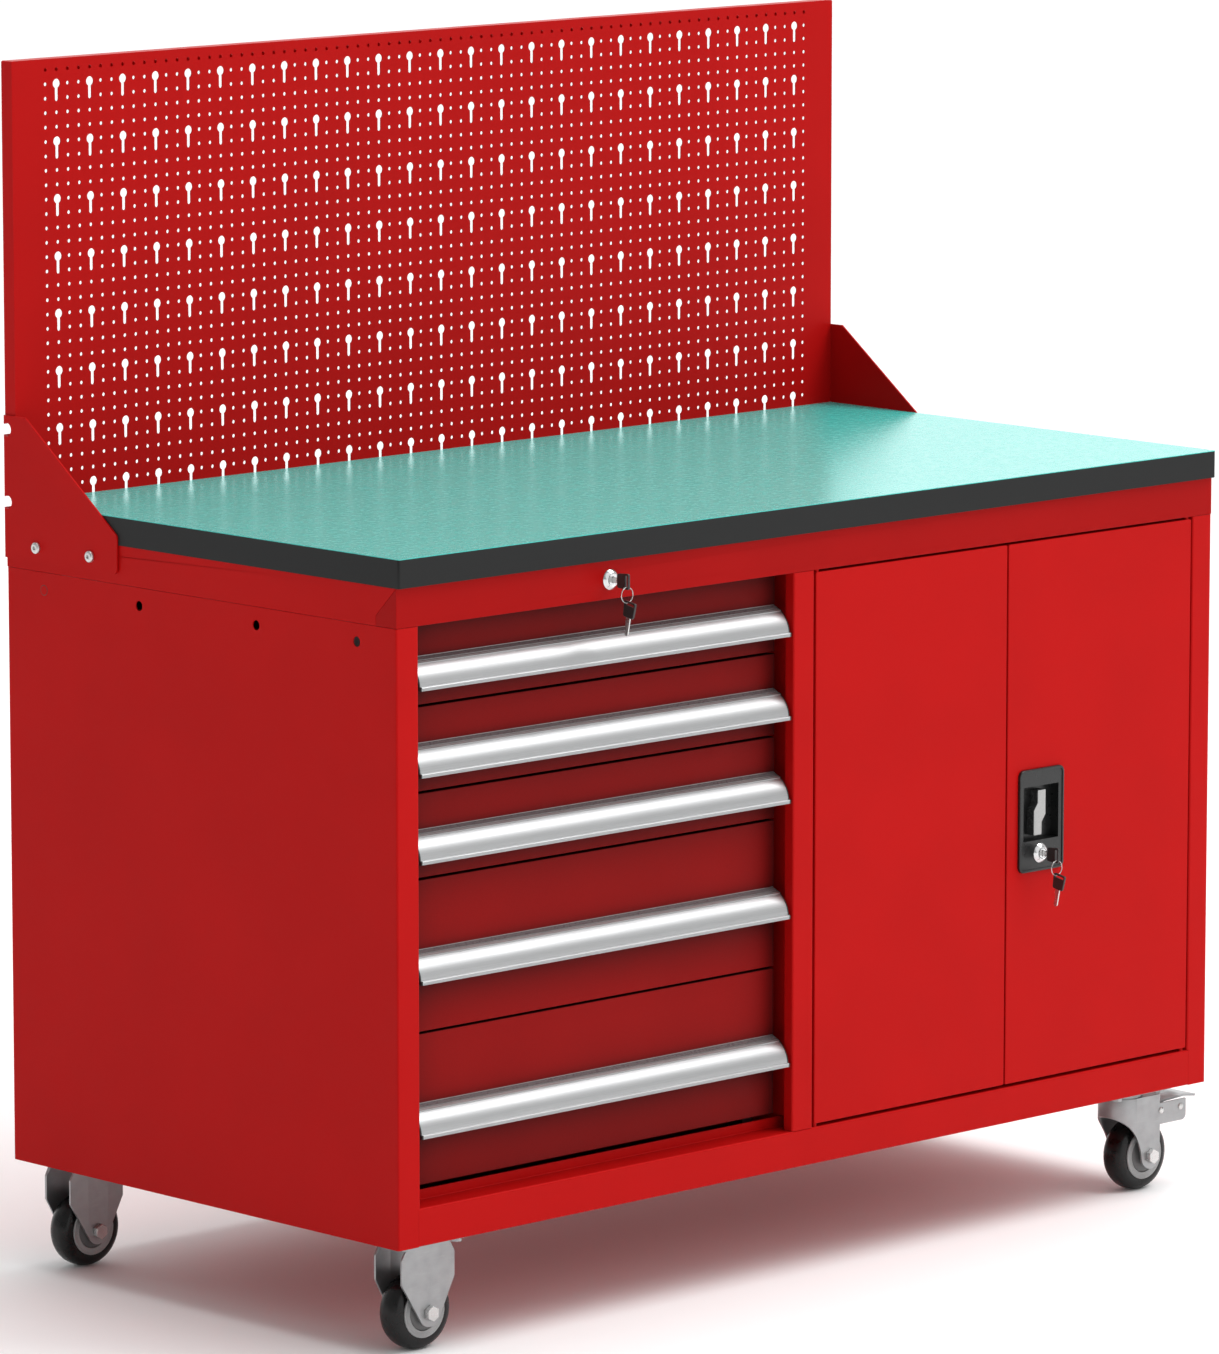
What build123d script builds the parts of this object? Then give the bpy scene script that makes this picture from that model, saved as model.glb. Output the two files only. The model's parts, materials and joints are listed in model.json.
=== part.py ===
from build123d import *
import math
import os

# Mobile workshop bench: a sheet-steel cabinet on four casters, with five drawers
# on the left, a two-door cupboard on the right, an edged worktop and a perforated
# tool board standing behind it.
# Millimetres. X runs across the bench, -Y is the front, +Z is up. The origin is on
# the floor, under the middle of the bench.

# ---------------------------------------------------------------- driving sizes
BENCH_HALF = 750.0        # half the width of the worktop and the tool board
CABINET_HALF = 749.0
CABINET_FRONT = -354.0
CABINET_DEPTH = 750.0
CASTER_HEIGHT = 145.0
CABINET_TOP = 982.4       # underside of the worktop
APRON_HEIGHT = 50.4
SHEET = 1.5

WORKTOP_FRONT = -360.0
WORKTOP_BACK = 375.0
WORKTOP_THICKNESS = 37.0
SURFACE_THICKNESS = 1.0
EDGING = 2.0

BOARD_HEIGHT = 600.0
BOARD_DEPTH = 21.0
BOARD_BOTTOM = 989.9
BOARD_LIP = 19.0
HOLE_RADIUS = 2.5
COLUMN_PITCH = 18.75
ROW_PITCH = 18.68
COLUMNS = 75
ROWS = 31
FIRST_ROW_DROP = 14.0     # top edge of the board to the first row of holes
KEYHOLE_STEP = 3          # a keyhole column every third column
KEYHOLE_ROW_STEP = 4
KEYHOLE_HEAD_RADIUS = 6.2
KEYHOLE_SLOT_RADIUS = 2.75
KEYHOLE_DROP = 20.0

BRACKET_SHEET = 2.5
BRACKET_FRONT = 172.7
BRACKET_BOTTOM = 944.8
BRACKET_TOP = 1130.7
BRACKET_SCREW_YS = (225.5, 332.5)
BRACKET_SCREW_Z = 962.9
SCREW_HEAD_RADIUS = 7.75
SCREW_HEAD_HEIGHT = 4.4
NOTCH_ZS = (1017.3, 1112.1)
NOTCH_RADIUS = 8.75

SIDE_HOLE_YS = (-280.5, -92.0, 134.0)
SIDE_HOLE_Z = 908.4
SIDE_HOLE_RADIUS = 6.5

PILLAR_WIDTH = 37.0
PILLAR_RETURN = 17.0
RAIL_HEIGHT = 49.0
RAIL_LEDGE = 39.0
RAIL_RISER = 13.0
POST_LEFT = -53.4
POST_RIGHT = -16.0
SHELF_TOP = 570.0
SHELF_LIP = 25.0

DRAWER_PLANE = -322.0     # front face of the drawer fronts
DRAWER_STACK_BOTTOM = 213.3
DRAWER_PITCHES = (196.2, 196.2, 109.6, 109.6, 105.6)   # from the lowest drawer up
DRAWER_GAP = 3.0
FRONT_RETURN = 15.0
TRAY_SIDE_CLEAR = 20.0
TRAY_BACK = 300.0
TRAY_SHEET = 1.2

HANDLE_HEIGHT = 39.0
HANDLE_DEPTH = 31.8
HANDLE_RISE_SMALL = 24.3  # gap line under the drawer to the handle's lip
HANDLE_RISE_LARGE = 68.0

SLIDE_START = -300.0
SLIDE_LENGTH = 600.0
SLIDE_HEIGHT = 46.0
SLIDE_SHEET = 1.2
SLIDE_DEPTH = 12.0

DOOR_BOTTOM = 198.5
DOOR_TOP = 928.6
DOOR_THICKNESS = 20.0
DOOR_SHEET = 1.2
LEFT_DOOR = (-12.5, 347.4)
RIGHT_DOOR = (350.3, 708.7)
HINGE_INSET = 5.0
HINGE_PIN_RADIUS = 3.0
RUNNING_CLEARANCE = 0.05

BEZEL_RADIUS = 13.2
BEZEL_FACE_RADIUS = 8.6
BEZEL_HEIGHT = 5.0
BARREL_RADIUS = 6.6
DRAWER_LOCK = (-382.5, 957.2)
LOCK_PLATE = (371.0, 457.0, 482.6, 621.8)
PLATE_PROUD = 4.5
RECESS = (378.6, 446.5, 524.8, 598.4)
LEVER_PIVOT = (411.6, 561.5)
LEVER_HALF_WIDTH = 7.8
LEVER_HALF_HEIGHT = 30.5
LEVER_OFFSET = 3.7        # how far each end of the S stands aside
LEVER_SUNK = 2.8          # escutcheon face to the lever's face
DOOR_LOCK = (411.6, 506.9)
CRANK = 12.0              # drawer lock's axis to its crank pin
KEY_NECK = 8.4
KEY_HEAD_LENGTH = 21.0
KEY_HEAD_HALF = 10.2
KEY_HEAD_THICKNESS = 3.2
KEY_SLOT_INSET = 4.0      # the slot's middle, from the head's outer end
KEY_SLOT_HALF = 8.0
SPARE_BLADE = 23.8
RING_RADIUS = 10.0
RING_WIRE = 0.65
SPARE_SHIFT = 4.5         # the spare key hangs off the ring's middle

WHEEL_RADIUS = 50.0
TYRE_HALF = 18.0
HUB_RADIUS = 34.0
HUB_HALF = 20.0
AXLE_RADIUS = 5.0
CASTER_INSET_Y = 53.0     # cabinet front or back to the caster's middle plane
RIGID_X = -674.5
SWIVEL_X = 636.0
TRAIL = 28.7              # swivel axis to the axle
FORK_RADIUS = 31.0
FLAP_REACH = 99.0         # swivel axis to the end of the fork's flaps
PEDAL_PIVOT = (49.0, 110.6)
KINGPIN_RADIUS = 8.0

# ------------------------------------------------------------- derived positions
CABINET_BACK = CABINET_FRONT + CABINET_DEPTH
APRON_BOTTOM = CABINET_TOP - APRON_HEIGHT
PANEL_TOP = APRON_BOTTOM - 0.4
SIDE_INNER = CABINET_HALF - SHEET
PILLAR_INNER = CABINET_HALF - PILLAR_WIDTH
RAIL_HALF = PILLAR_INNER + 2.7
RAIL_TOP = CASTER_HEIGHT + RAIL_HEIGHT
BAY_LEFT = -PILLAR_INNER
BAY_RIGHT = POST_LEFT
BAY_MIDDLE = (BAY_LEFT + BAY_RIGHT) / 2
DIVIDER_X = -34.0
WORKTOP_TOP = CABINET_TOP + WORKTOP_THICKNESS
BOARD_TOP = BOARD_BOTTOM + BOARD_HEIGHT
FIRST_ROW = BOARD_TOP - FIRST_ROW_DROP
NOTCH_Y = CABINET_BACK - 5.5
SLIDE_PLAY = 0.6
RECESS_FLOOR = CABINET_FRONT + 11.5
CASTER_YS = {"front": CABINET_FRONT + CASTER_INSET_Y, "rear": CABINET_BACK - CASTER_INSET_Y}
SIDES = {"left": -1, "right": 1}


# --------------------------------------------------------------------- helpers
def block(x, y, z):
    """Solid block over three (low, high) spans."""
    size = [high - low for low, high in (x, y, z)]
    middle = [(low + high) / 2 for low, high in (x, y, z)]
    return Pos(*middle) * Box(*size)


def rod(start, direction, length, radius):
    """Round bar from a point, along a direction."""
    place = Plane(origin=start, z_dir=direction)
    return place * Cylinder(radius, length, align=(Align.CENTER, Align.CENTER, Align.MIN))


def across(face, x_low, x_high):
    """Sweep an outline drawn in (Y, Z) from one X to another."""
    return Pos(x_low, 0, 0) * extrude(Plane.YZ * face, amount=x_high - x_low, dir=(1, 0, 0))


def deep(face, y_low, y_high):
    """Sweep an outline drawn in (X, Z) from one Y to another."""
    plane = Plane(origin=(0, 0, 0), x_dir=(1, 0, 0), z_dir=(0, -1, 0))
    return Pos(0, y_low, 0) * extrude(plane * face, amount=y_high - y_low, dir=(0, 1, 0))


def upright(face, z_low, z_high):
    """Sweep an outline drawn in (X, Y) from one Z to another."""
    return Pos(0, 0, z_low) * extrude(face, amount=z_high - z_low, dir=(0, 0, 1))


def outline(points):
    return make_face(Polyline(*points, close=True))


def bent_sheet(points, thickness=SHEET, bend=1.0):
    """Section of a folded sheet, with the metal on the left of the line of points."""
    steps = [(Vector(b) - Vector(a)).normalized() for a, b in zip(points, points[1:])]
    normals = [Vector(-s.Y, s.X) for s in steps]
    other = [Vector(points[0]) + normals[0] * thickness]
    for corner, before, after in zip(points[1:], normals, normals[1:]):
        other.append(Vector(corner) + (before + after) * (thickness / (1 + before.dot(after))))
    other.append(Vector(points[-1]) + normals[-1] * thickness)
    lefts = [a.X * b.Y - a.Y * b.X > 0 for a, b in zip(steps, steps[1:])]
    near = FilletPolyline(*points, radius=[bend + thickness if left else bend for left in lefts])
    far = FilletPolyline(*other, radius=[bend if left else bend + thickness for left in lefts])
    return make_face([near, far, Line(points[0], other[0]), Line(points[-1], other[-1])])


def mirrored(shape, side):
    """The shape as drawn for the left side, or its mirror image for the right."""
    return shape if side == "left" else mirror(shape, about=Plane.YZ)


def save(node, *shapes):
    solids = [solid for shape in shapes for solid in shape.solids()]
    whole = solids[0] if len(solids) == 1 else Compound(solids)
    export_step(whole, f"parts/{node}.step")


# --------------------------------------------------------------------- cabinet
def side_panel():
    """Left wall: one sheet folded round the front into a pillar."""
    section = bent_sheet([
        (-CABINET_HALF, CABINET_BACK - SHEET),
        (-CABINET_HALF, CABINET_FRONT),
        (-PILLAR_INNER, CABINET_FRONT),
        (-PILLAR_INNER, CABINET_FRONT + PILLAR_RETURN),
    ])
    panel = upright(section, CASTER_HEIGHT, PANEL_TOP)
    panel -= block((-RAIL_HALF - 0.3, 0), (CABINET_FRONT - 1, CABINET_FRONT + 24), (100, RAIL_TOP + 0.3))
    for y in SIDE_HOLE_YS:
        panel -= rod((-760, y, SIDE_HOLE_Z), (1, 0, 0), 20, SIDE_HOLE_RADIUS)
    return panel


def back_panel():
    return block((-SIDE_INNER, SIDE_INNER), (CABINET_BACK - SHEET, CABINET_BACK),
                 (CASTER_HEIGHT, PANEL_TOP))


def base_panel():
    """Cupboard floor, stiffened by a lip at each side."""
    section = bent_sheet([
        (-SIDE_INNER, CASTER_HEIGHT + 12),
        (-SIDE_INNER, CASTER_HEIGHT),
        (SIDE_INNER, CASTER_HEIGHT),
        (SIDE_INNER, CASTER_HEIGHT + 12),
    ])
    return deep(section, CABINET_FRONT + 20.5, CABINET_BACK - SHEET)


def bottom_rail():
    """Front rail: face, drip ledge behind it and a short riser."""
    section = bent_sheet([
        (CABINET_FRONT + RAIL_LEDGE, RAIL_TOP + RAIL_RISER),
        (CABINET_FRONT + RAIL_LEDGE, RAIL_TOP),
        (CABINET_FRONT, RAIL_TOP),
        (CABINET_FRONT, CASTER_HEIGHT),
        (CABINET_FRONT + 20, CASTER_HEIGHT),
    ])
    rail = across(section, -RAIL_HALF, RAIL_HALF)
    riser_half = PILLAR_INNER - 0.2
    for ends in ((-CABINET_HALF, -riser_half), (riser_half, CABINET_HALF)):
        rail -= block(ends, (CABINET_FRONT - 1, CABINET_FRONT + 60), (RAIL_TOP + 0.1, 230))
    return rail


def centre_divider():
    """Wall between the bays, welded to the folded post at its front edge."""
    post = upright(bent_sheet([
        (POST_RIGHT, CABINET_FRONT + PILLAR_RETURN),
        (POST_RIGHT, CABINET_FRONT),
        (POST_LEFT, CABINET_FRONT),
        (POST_LEFT, CABINET_FRONT + PILLAR_RETURN),
        (DIVIDER_X, CABINET_FRONT + PILLAR_RETURN),
    ][::-1]), RAIL_TOP + 0.3, PANEL_TOP)
    wall_front = CABINET_FRONT + RAIL_LEDGE + 2
    wall = block((DIVIDER_X - SHEET, DIVIDER_X), (wall_front, CABINET_BACK - SHEET),
                 (CASTER_HEIGHT + SHEET, PANEL_TOP))
    bridge = block((DIVIDER_X - SHEET, DIVIDER_X), (CABINET_FRONT + PILLAR_RETURN - SHEET, wall_front),
                   (RAIL_TOP + RAIL_RISER + 1, PANEL_TOP))
    return post + wall + bridge


def apron_front():
    """Front of the frame under the worktop, wrapped round both corners."""
    wrap = 37.5
    seam = outline([
        (CABINET_FRONT, APRON_BOTTOM),
        (CABINET_FRONT + wrap, APRON_BOTTOM),
        (CABINET_FRONT + wrap, APRON_BOTTOM + 13),
        (CABINET_FRONT + SHEET, CABINET_TOP - 1.4),
        (CABINET_FRONT, CABINET_TOP - 1.4),
    ])
    face = block((-CABINET_HALF, CABINET_HALF), (CABINET_FRONT, CABINET_FRONT + SHEET),
                 (APRON_BOTTOM, CABINET_TOP))
    ledge = block((-SIDE_INNER, SIDE_INNER), (CABINET_FRONT, CABINET_FRONT + 20),
                  (APRON_BOTTOM, APRON_BOTTOM + SHEET))
    apron = face + ledge + across(seam, -CABINET_HALF, -SIDE_INNER) + across(seam, SIDE_INNER, CABINET_HALF)
    return apron - rod((DRAWER_LOCK[0], CABINET_FRONT - 5, DRAWER_LOCK[1]), (0, 1, 0), 20, 11.1)


def apron_side():
    """Left rail of the frame, cut to the mitre of the front apron."""
    wrap = 37.9
    plate = across(outline([
        (CABINET_BACK - SHEET, APRON_BOTTOM),
        (CABINET_BACK - SHEET, CABINET_TOP),
        (CABINET_FRONT + SHEET + 0.2, CABINET_TOP),
        (CABINET_FRONT + SHEET + 0.2, CABINET_TOP - 1),
        (CABINET_FRONT + wrap, APRON_BOTTOM + 13.2),
        (CABINET_FRONT + wrap, APRON_BOTTOM),
    ]), -CABINET_HALF, -SIDE_INNER)
    for y in BRACKET_SCREW_YS:
        plate -= rod((-760, y, BRACKET_SCREW_Z), (1, 0, 0), 20, 4.2)
    return plate


def apron_back():
    return block((-CABINET_HALF, CABINET_HALF), (CABINET_BACK - SHEET, CABINET_BACK),
                 (APRON_BOTTOM, CABINET_TOP))


def cupboard_shelf():
    """Loose steel shelf with its four edges turned down."""
    x = (DIVIDER_X + 2, SIDE_INNER - 2)
    y = (-290.0, CABINET_BACK - SHEET - 4)
    bottom = SHELF_TOP - SHELF_LIP
    shelf = block(x, y, (bottom, SHELF_TOP))
    hollow = block((x[0] + SHEET, x[1] - SHEET), (y[0] + SHEET, y[1] - SHEET),
                   (bottom - 1, SHELF_TOP - SHEET))
    return shelf - hollow


# ------------------------------------------------------------ worktop and board
def worktop():
    """Core board, black edge band on three sides, and the coloured surface sheet."""
    band_top = WORKTOP_TOP - SURFACE_THICKNESS
    board = block((-BENCH_HALF + EDGING, BENCH_HALF - EDGING), (WORKTOP_FRONT + EDGING, WORKTOP_BACK),
                  (CABINET_TOP, band_top))
    blank = block((-BENCH_HALF, BENCH_HALF), (WORKTOP_FRONT, WORKTOP_BACK), (CABINET_TOP, WORKTOP_TOP))
    front_corners = blank.edges().filter_by(Axis.Z).group_by(Axis.Y)[0]
    blank = fillet(front_corners, 3)
    band = blank & block((-800, 800), (-400, 400), (CABINET_TOP, band_top))
    surface = blank & block((-800, 800), (-400, 400), (band_top, WORKTOP_TOP))
    save("worktop_board", board)
    save("worktop_edging", band - board)
    save("worktop_surface", surface)


def keyhole_heads():
    """Column and row numbers of the keyholes' round heads."""
    columns = range(1, COLUMNS, KEYHOLE_STEP)
    rows = range(1, ROWS - 1, KEYHOLE_ROW_STEP)
    return [(column, row) for column in columns for row in rows]


def hole_place(column, row):
    return (column - (COLUMNS - 1) / 2) * COLUMN_PITCH, FIRST_ROW - row * ROW_PITCH


def keyhole_wire(x, z):
    """Round head over a narrow slot, drawn as one closed line."""
    head, slot = KEYHOLE_HEAD_RADIUS, KEYHOLE_SLOT_RADIUS
    shoulder = math.sqrt(head ** 2 - slot ** 2)
    foot = z - KEYHOLE_DROP
    return Wire([
        ThreePointArc((x + slot, z - shoulder), (x, z + head), (x - slot, z - shoulder)),
        Line((x - slot, z - shoulder), (x - slot, foot)),
        ThreePointArc((x - slot, foot), (x, foot - slot), (x + slot, foot)),
        Line((x + slot, foot), (x + slot, z - shoulder)),
    ])


def pegboard():
    """Perforated front sheet, folded back on four sides and in again behind."""
    heads = keyhole_heads()
    taken = set(heads) | {(column, row + 1) for column, row in heads}
    openings = [keyhole_wire(*hole_place(*head)) for head in heads]
    for column in range(COLUMNS):
        for row in range(ROWS):
            if (column, row) not in taken:
                x, z = hole_place(column, row)
                openings.append(Wire([CenterArc((x, z), HOLE_RADIUS, 0, 360)]))
    edge = Wire(RectangleRounded(2 * BENCH_HALF, BOARD_HEIGHT, 2.5).wire().edges())
    edge = Pos(0, BOARD_BOTTOM + BOARD_HEIGHT / 2) * edge
    sheet = deep(Face(edge, openings), WORKTOP_BACK, WORKTOP_BACK + SHEET)
    rim = block((-BENCH_HALF, BENCH_HALF), (WORKTOP_BACK + SHEET, CABINET_BACK), (BOARD_BOTTOM, BOARD_TOP))
    rim = fillet(rim.edges().filter_by(Axis.Y), 2.5)
    inside = (BENCH_HALF - SHEET, BOARD_BOTTOM + SHEET, BOARD_TOP - SHEET)
    rim -= block((-inside[0], inside[0]), (0, CABINET_BACK - SHEET), inside[1:])
    lip = (BENCH_HALF - BOARD_LIP, BOARD_BOTTOM + BOARD_LIP, BOARD_TOP - BOARD_LIP)
    rim -= block((-lip[0], lip[0]), (0, 500), lip[1:])
    for z in NOTCH_ZS:
        for side in (-1, 1):
            rim -= rod((side * 760, NOTCH_Y, z), (-side, 0, 0), 35, NOTCH_RADIUS)
    return sheet + rim


def pegboard_bracket():
    """Left gusset plate that ties the tool board to the frame."""
    plate = across(outline([
        (CABINET_BACK, BRACKET_BOTTOM),
        (BRACKET_FRONT, BRACKET_BOTTOM),
        (BRACKET_FRONT, BRACKET_BOTTOM + 49.7),
        (CABINET_BACK - 42.8, BRACKET_TOP),
        (CABINET_BACK, BRACKET_TOP),
    ]), -BENCH_HALF - BRACKET_SHEET, -BENCH_HALF)
    corners = plate.edges().filter_by(Axis.X).sort_by(Axis.Y)
    plate = fillet(corners[:2], 8)
    for z in NOTCH_ZS:
        plate -= rod((-760, NOTCH_Y, z), (1, 0, 0), 20, NOTCH_RADIUS)
    for y in BRACKET_SCREW_YS:
        plate -= rod((-760, y, BRACKET_SCREW_Z), (1, 0, 0), 20, 4.2)
    return plate


def button_screw(y):
    """Domed socket screw, its head outside the left bracket."""
    outside = -BENCH_HALF - BRACKET_SHEET
    head = rod((outside, y, BRACKET_SCREW_Z), (-1, 0, 0), SCREW_HEAD_HEIGHT, SCREW_HEAD_RADIUS)
    head = fillet(head.edges().sort_by(Axis.X)[0], 3)
    mouth = Plane(origin=(outside - SCREW_HEAD_HEIGHT, y, BRACKET_SCREW_Z), z_dir=(1, 0, 0))
    socket = mouth * extrude(RegularPolygon(2.9, 6), amount=2.6)
    return head - socket + rod((outside, y, BRACKET_SCREW_Z), (1, 0, 0), 16, 4)


# ---------------------------------------------------------------------- drawers
def slide_section(web_x, side, depth, height):
    """C section of one slide member in (X, Z), open towards the drawer."""
    inward = 1 if side == "left" else -1
    mouth = web_x + inward * depth
    points = [(mouth, height / 2), (web_x, height / 2), (web_x, -height / 2), (mouth, -height / 2)]
    return bent_sheet(points if inward > 0 else points[::-1], SLIDE_SHEET, 0.6)


def slide_pair(web_offset, depth, height, z, opens_outwards=False):
    """Left and right members of a drawer's slides, from the bay's walls inwards."""
    members = []
    for side, wall, inward in (("left", BAY_LEFT, 1), ("right", BAY_RIGHT, -1)):
        facing = {"left": "right", "right": "left"}[side] if opens_outwards else side
        section = Pos(0, z) * slide_section(wall + inward * web_offset, facing, depth, height)
        members.append(deep(section, SLIDE_START, SLIDE_START + SLIDE_LENGTH))
    return members


def drawer_levels():
    """Gap line below each drawer and the drawer's pitch, from the top drawer down."""
    levels, z = [], DRAWER_STACK_BOTTOM
    for pitch in DRAWER_PITCHES:
        levels.append((z, pitch))
        z += pitch
    return levels[::-1]


def slide_level(gap_z):
    return gap_z + 45.0


def drawer_front(x, low, high):
    """Face sheet of a drawer front and the four return flanges behind its edges."""
    behind = (DRAWER_PLANE + SHEET, DRAWER_PLANE + FRONT_RETURN)
    face = block(x, (DRAWER_PLANE, behind[0]), (low, high))
    face = fillet(face.faces().sort_by(Axis.Y)[0].edges(), 0.8)
    upright = (low + SHEET, high - SHEET)
    return [face,
            block(x, behind, (low, low + SHEET)),
            block(x, behind, (high - SHEET, high)),
            block((x[0], x[0] + SHEET), behind, upright),
            block((x[1] - SHEET, x[1]), behind, upright)]


def drawer_tray(gap_z, pitch):
    """Front, the tray's four sheets and the inner slide members, spot-welded together."""
    low, high = gap_z + DRAWER_GAP / 2, gap_z + pitch - DRAWER_GAP / 2
    x = (BAY_LEFT + DRAWER_GAP, BAY_RIGHT - DRAWER_GAP)
    side = (BAY_LEFT + TRAY_SIDE_CLEAR, BAY_RIGHT - TRAY_SIDE_CLEAR)
    y = (DRAWER_PLANE + SHEET, TRAY_BACK)
    floor, rim = low + 8, high - 22
    floor_sheet = block(side, y, (floor, floor + TRAY_SHEET))
    upright = (floor + TRAY_SHEET, rim)
    walls = [block((side[0], side[0] + TRAY_SHEET), y, upright),
             block((side[1] - TRAY_SHEET, side[1]), y, upright)]
    back = block((side[0] + TRAY_SHEET, side[1] - TRAY_SHEET), (y[1] - TRAY_SHEET, y[1]), upright)
    height = SLIDE_HEIGHT - 4 * (SLIDE_SHEET + SLIDE_PLAY)
    inner = slide_pair(TRAY_SIDE_CLEAR, TRAY_SIDE_CLEAR - 5.5, height, slide_level(gap_z), True)
    hook_x = (BAY_MIDDLE - 16, BAY_MIDDLE + 16)
    hook = block(hook_x, (TRAY_BACK, TRAY_BACK + 9.5), (gap_z + 51, gap_z + 53))
    lip = block(hook_x, (TRAY_BACK + 7.5, TRAY_BACK + 9.5), (gap_z + 38, gap_z + 51))
    sides = [wall + member for wall, member in zip(walls, inner)]
    return drawer_front(x, low, high) + [floor_sheet, back + hook + lip] + sides


def handle_section(lip_z):
    """Section of the extruded pull in (Y, Z): label slope, curved face, finger lip."""
    def at(depth, height):
        return DRAWER_PLANE - depth, lip_z + height
    return make_face([
        Polyline(at(0, HANDLE_HEIGHT), at(13.9, 32.7), at(14.3, 30.5)),
        ThreePointArc(at(14.3, 30.5), at(24.6, 18.6), at(28.5, 5.2)),
        Polyline(at(28.5, 5.2), at(HANDLE_DEPTH, 4.7), at(HANDLE_DEPTH, 0), at(27.2, 0), at(26.2, 5)),
        ThreePointArc(at(26.2, 5), at(22.4, 17.6), at(12.6, 29)),
        Polyline(at(12.6, 29), at(2, 34.4), at(2, 12), at(0, 12), at(0, HANDLE_HEIGHT)),
    ])


def drawers():
    channels = []
    outer_depth = 1.0
    for number, (gap_z, pitch) in enumerate(drawer_levels(), start=1):
        save(f"drawer_{number}_tray", *drawer_tray(gap_z, pitch))
        rise = HANDLE_RISE_LARGE if pitch > 150 else HANDLE_RISE_SMALL
        handle = across(handle_section(gap_z + rise), BAY_LEFT + 4, BAY_RIGHT - 4)
        save(f"drawer_{number}_handle", handle)
        z = slide_level(gap_z)
        inset = SLIDE_SHEET + SLIDE_PLAY
        middle_height = SLIDE_HEIGHT - 2 * inset
        save(f"drawer_{number}_slide",
             *slide_pair(outer_depth + inset + 0.2, SLIDE_DEPTH - 2.2, middle_height, z))
        channels += slide_pair(outer_depth, SLIDE_DEPTH, SLIDE_HEIGHT, z)
    save("slide_channels", *channels)


def slide_uprights():
    """Square posts that carry the fixed slide channels."""
    posts = []
    spans = ((-SIDE_INNER + 0.2, BAY_LEFT + 0.9), (BAY_RIGHT - 0.9, DIVIDER_X - SHEET - 0.2))
    for x in spans:
        for y in ((-262.0, -234.0), (260.0, 288.0)):
            post = block(x, y, (CASTER_HEIGHT + 14, PANEL_TOP))
            post -= block((x[0] + SHEET, x[1] - SHEET), (y[0] + SHEET, y[1] - SHEET), (100, 1000))
            posts.append(post)
    return posts


# ------------------------------------------------------------------------ locks
def bezel(x, y, z):
    """Truncated cone round a lock plug."""
    place = Plane(origin=(x, y, z), z_dir=(0, -1, 0))
    align = (Align.CENTER, Align.CENTER, Align.MIN)
    return place * Cone(BEZEL_RADIUS, BEZEL_FACE_RADIUS, BEZEL_HEIGHT, align=align)


def lock_housing():
    """Bezel and sleeve of the drawer lock, fixed in the apron."""
    x, z = DRAWER_LOCK
    sleeve = rod((x, CABINET_FRONT, z), (0, 1, 0), 18, 11)
    bore = rod((x, CABINET_FRONT - 6, z), (0, 1, 0), 30, BARREL_RADIUS + RUNNING_CLEARANCE)
    return bezel(x, CABINET_FRONT, z) + sleeve - bore


def barrel(x, z, face_y, length):
    """Lock plug with its key slot."""
    plug = rod((x, face_y, z), (0, 1, 0), length, BARREL_RADIUS)
    return plug - block((x - 1.4, x + 1.4), (face_y - 1, face_y + 20), (z - 4.4, z + 4.4))


def key_shape():
    """Key in (distance out of the lock along -Y, Z), lying in the YZ plane."""
    half = KEY_HEAD_THICKNESS / 2
    head = block((-half, half), (-KEY_NECK - KEY_HEAD_LENGTH, -KEY_NECK), (-KEY_HEAD_HALF, KEY_HEAD_HALF))
    head = fillet(head.edges().filter_by(Axis.X), 2.5)
    slot_y = -KEY_NECK - KEY_HEAD_LENGTH + KEY_SLOT_INSET
    head -= block((-3, 3), (slot_y - 1.7, slot_y + 1.7), (-KEY_SLOT_HALF, KEY_SLOT_HALF))
    blade = block((-1.1, 1.1), (-KEY_NECK, 18), (-3.8, 3.8))
    return head + blade


def ring_and_spare():
    """Split ring hanging from a key's slot, and the spare key on it. Origin at the slot."""
    ring = Pos(0, 0, -RING_RADIUS) * (Rot(90, 0, 0) * Torus(RING_RADIUS, RING_WIRE))
    top = 2.8 - 2 * RING_RADIUS
    bottom = top - KEY_HEAD_LENGTH
    half = KEY_HEAD_THICKNESS / 2
    head = block((-KEY_HEAD_HALF, KEY_HEAD_HALF), (-half, half), (bottom, top))
    head = fillet(head.edges().filter_by(Axis.Y), 2.5)
    head -= block((-KEY_SLOT_HALF, KEY_SLOT_HALF), (-3, 3), (top - 4.7, top - 1.5))
    blade = block((-3.8, 3.8), (-1.1, 1.1), (bottom - SPARE_BLADE, bottom))
    blade = chamfer(blade.edges().filter_by(Axis.Y).group_by(Axis.Z)[0], 2)
    spare = Pos(0, -SPARE_SHIFT, 0) * (Rot(0, 0, 90) * (head + blade))
    return ring, spare


def key_set(prefix, x, z, face_y):
    slot_y = face_y - KEY_NECK - KEY_HEAD_LENGTH + KEY_SLOT_INSET
    save(f"{prefix}_key", Pos(x, face_y, z) * key_shape())
    ring, spare = ring_and_spare()
    place = Pos(x, slot_y, z - KEY_SLOT_HALF + 1.2)
    save(f"{prefix}_spare_key", place * ring, place * spare)


def drawer_lock():
    x, z = DRAWER_LOCK
    save("drawer_lock_housing", lock_housing())
    face_y = CABINET_FRONT - BEZEL_HEIGHT
    plug = barrel(x, z, face_y, 26)
    crank = block((x - 7, x + CRANK + 3), (CABINET_FRONT + 21, CABINET_FRONT + 24), (z - 4, z + 4))
    pin = rod((x + CRANK, CABINET_FRONT + 24, z), (0, 1, 0), 8, 1.5)
    save("drawer_lock_barrel", plug + crank + pin)
    key_set("drawer", x, z, face_y)
    save("drawer_lock_bar", lock_bar())


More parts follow.
